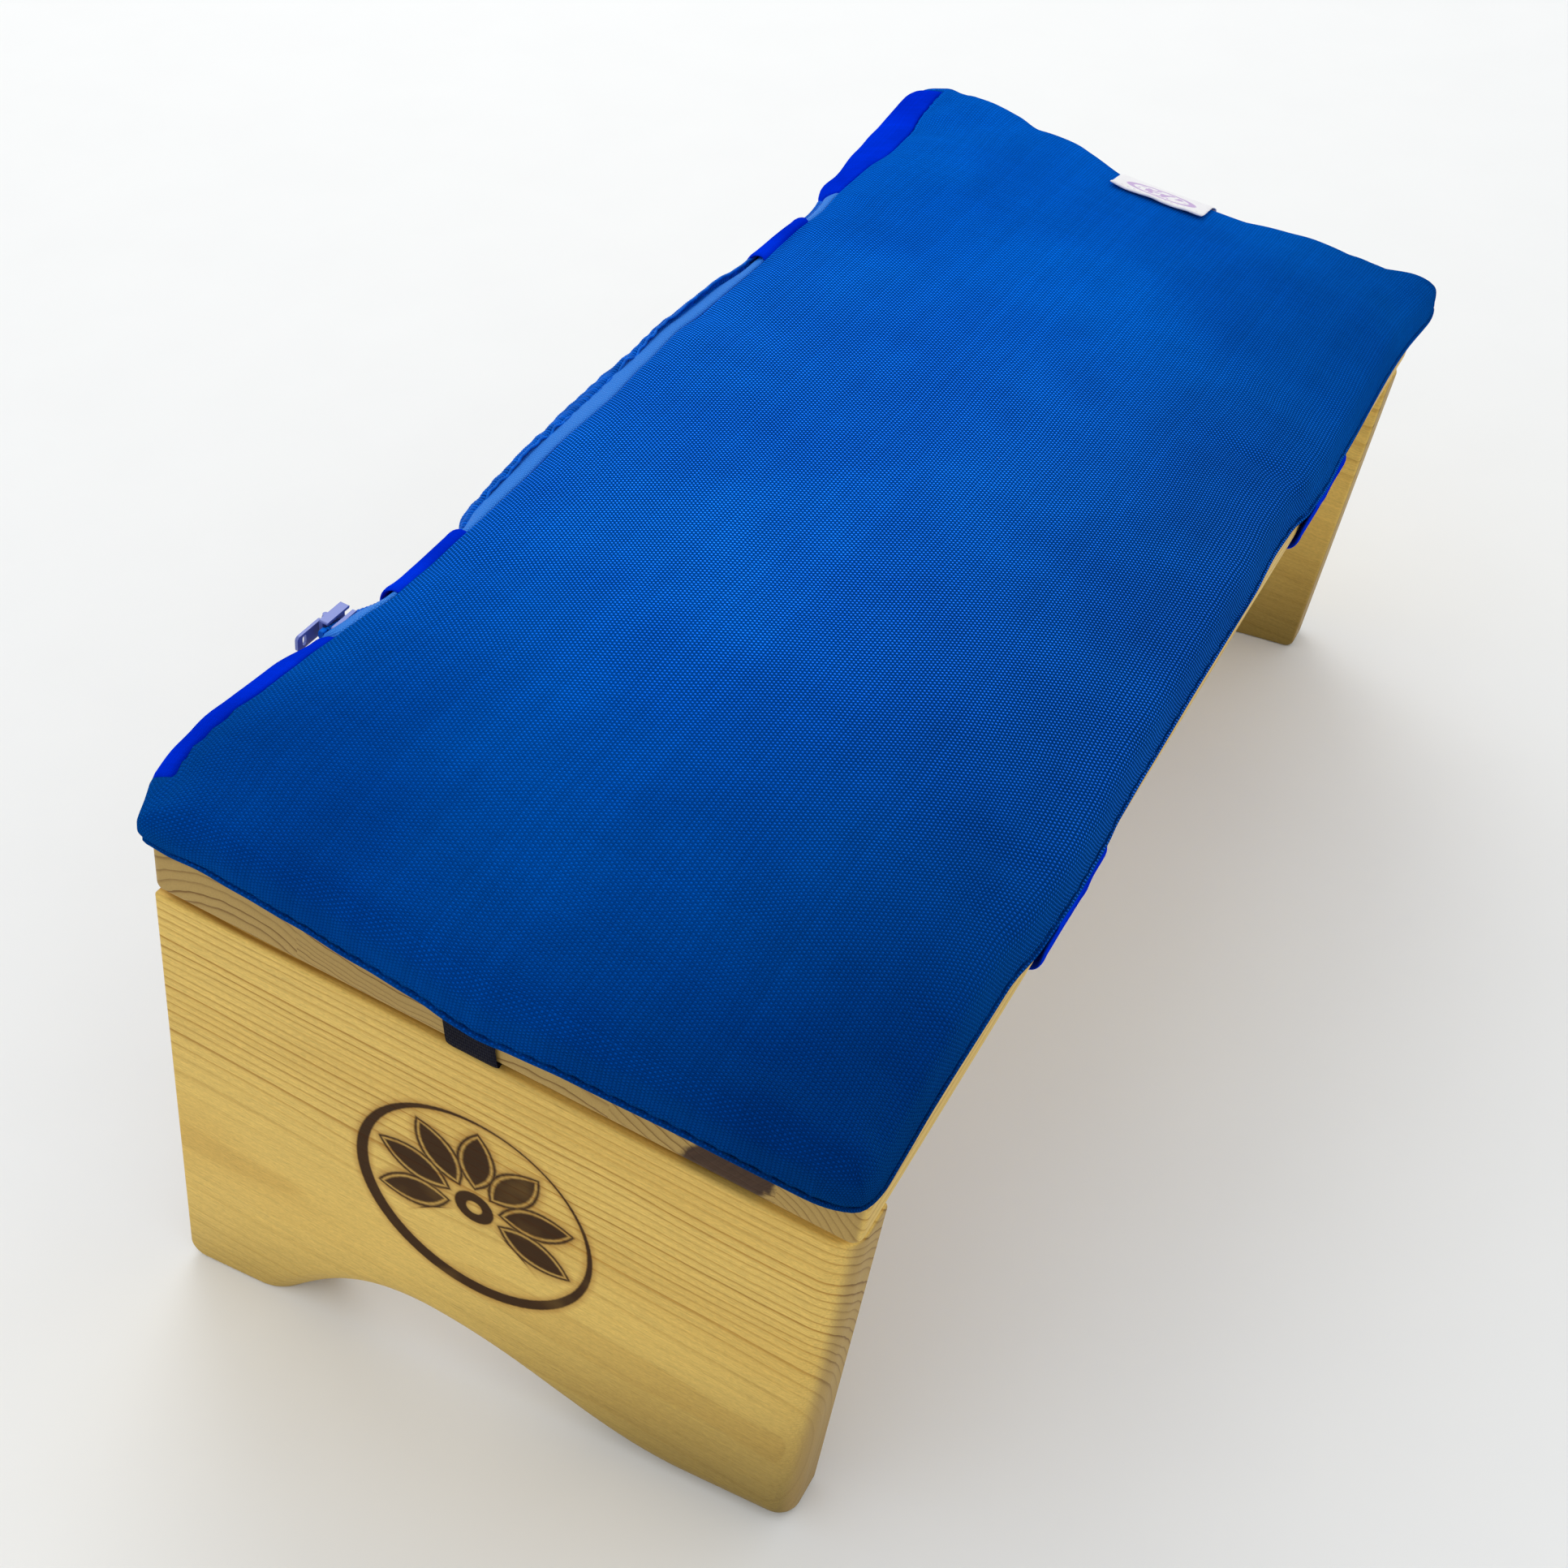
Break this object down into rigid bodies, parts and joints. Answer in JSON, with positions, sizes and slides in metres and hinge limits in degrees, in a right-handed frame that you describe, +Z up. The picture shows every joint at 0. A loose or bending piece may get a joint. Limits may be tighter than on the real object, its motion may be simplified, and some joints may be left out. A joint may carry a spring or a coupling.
{
  "type": "kneeling bench",
  "caption": "Low folding kneeling bench: a forward-sloping pine seat on two hinged pine legs, with a zipped blue box cushion strapped on.",
  "frame": {"origin": "on the floor, under the middle of the whole bench", "axes": "+X along the bench towards the end with the label, +Y to the high back side, +Z up"},
  "size_m": [0.4898, 0.2283, 0.1938],
  "materials": {
    "pine": "oiled, satin",
    "hinge_steel": "zinc-plated, satin",
    "cover_cloth": "coarse plain weave",
    "lining_cloth": "smooth plain weave",
    "zip_tape": "woven twill tape",
    "zip_coil": "satin nylon",
    "slider_paint": "satin enamel",
    "hook_and_loop": "napped",
    "black_webbing": "woven tape",
    "label_cloth": "woven satin",
    "foam": "open-cell foam"
  },
  "bodies": {
    "seat": {"seat_stave_1": "pine", "seat_stave_2": "pine", "seat_stave_3": "pine", "seat_stave_4": "pine", "seat_stave_5": "pine", "hinge_near_front_seat_leaf": "hinge_steel", "hinge_near_back_seat_leaf": "hinge_steel", "hinge_far_front_seat_leaf": "hinge_steel", "hinge_far_back_seat_leaf": "hinge_steel", "hinge_near_front_pin": "hinge_steel", "hinge_near_back_pin": "hinge_steel", "hinge_far_front_pin": "hinge_steel", "hinge_far_back_pin": "hinge_steel", "screws_near_seat": "hinge_steel", "screws_far_seat": "hinge_steel", "foam_pad": "foam", "cover_top": "cover_cloth", "cover_bottom": "lining_cloth", "cover_back_near": "lining_cloth", "cover_back_far": "lining_cloth", "zip_tape_upper": "zip_tape", "zip_tape_lower": "zip_tape", "zip_coil_upper": "zip_coil", "zip_coil_lower": "zip_coil", "zip_top_stops": "zip_coil", "zip_bottom_stop": "zip_coil", "strap_near_back": "lining_cloth", "strap_near_front": "lining_cloth", "strap_far_back": "lining_cloth", "strap_far_front": "lining_cloth", "loop_patch_near": "hook_and_loop", "hook_patch_near": "hook_and_loop", "loop_patch_far": "hook_and_loop", "hook_patch_far": "hook_and_loop", "end_strap_near": "black_webbing", "end_strap_far": "black_webbing", "end_strap_tacks": "hinge_steel", "label": "label_cloth"},
    "leg_near": {"leg_near": "pine", "hinge_near_front_leg_leaf": "hinge_steel", "hinge_near_back_leg_leaf": "hinge_steel", "screws_near_leg": "hinge_steel"},
    "leg_far": {"leg_far": "pine", "hinge_far_front_leg_leaf": "hinge_steel", "hinge_far_back_leg_leaf": "hinge_steel", "screws_far_leg": "hinge_steel"},
    "zip_slider": {"zip_slider": "slider_paint"},
    "zip_pull": {"zip_pull_tab": "slider_paint"}
  },
  "joints": [
    {"name": "leg_near_fold", "type": "hinge", "parent": "seat", "child": "leg_near", "pos_m": [-0.2154, -0.00582, 0.14022], "axis": [0, -0.9903, -0.1392], "range_deg": [0, 90]},
    {"name": "leg_far_fold", "type": "hinge", "parent": "seat", "child": "leg_far", "pos_m": [0.2146, -0.00582, 0.14022], "axis": [0, 0.9903, 0.1392], "range_deg": [0, 90]},
    {"name": "zip_run", "type": "slide", "parent": "seat", "child": "zip_slider", "axis": [1, 0, 0], "range_m": [0, 0.289]},
    {"name": "pull_tab_flip", "type": "hinge", "parent": "zip_slider", "child": "zip_pull", "pos_m": [-0.1521, 0.09741, 0.18533], "axis": [0, 0.1392, -0.9903], "range_deg": [0, 175]}
  ]
}
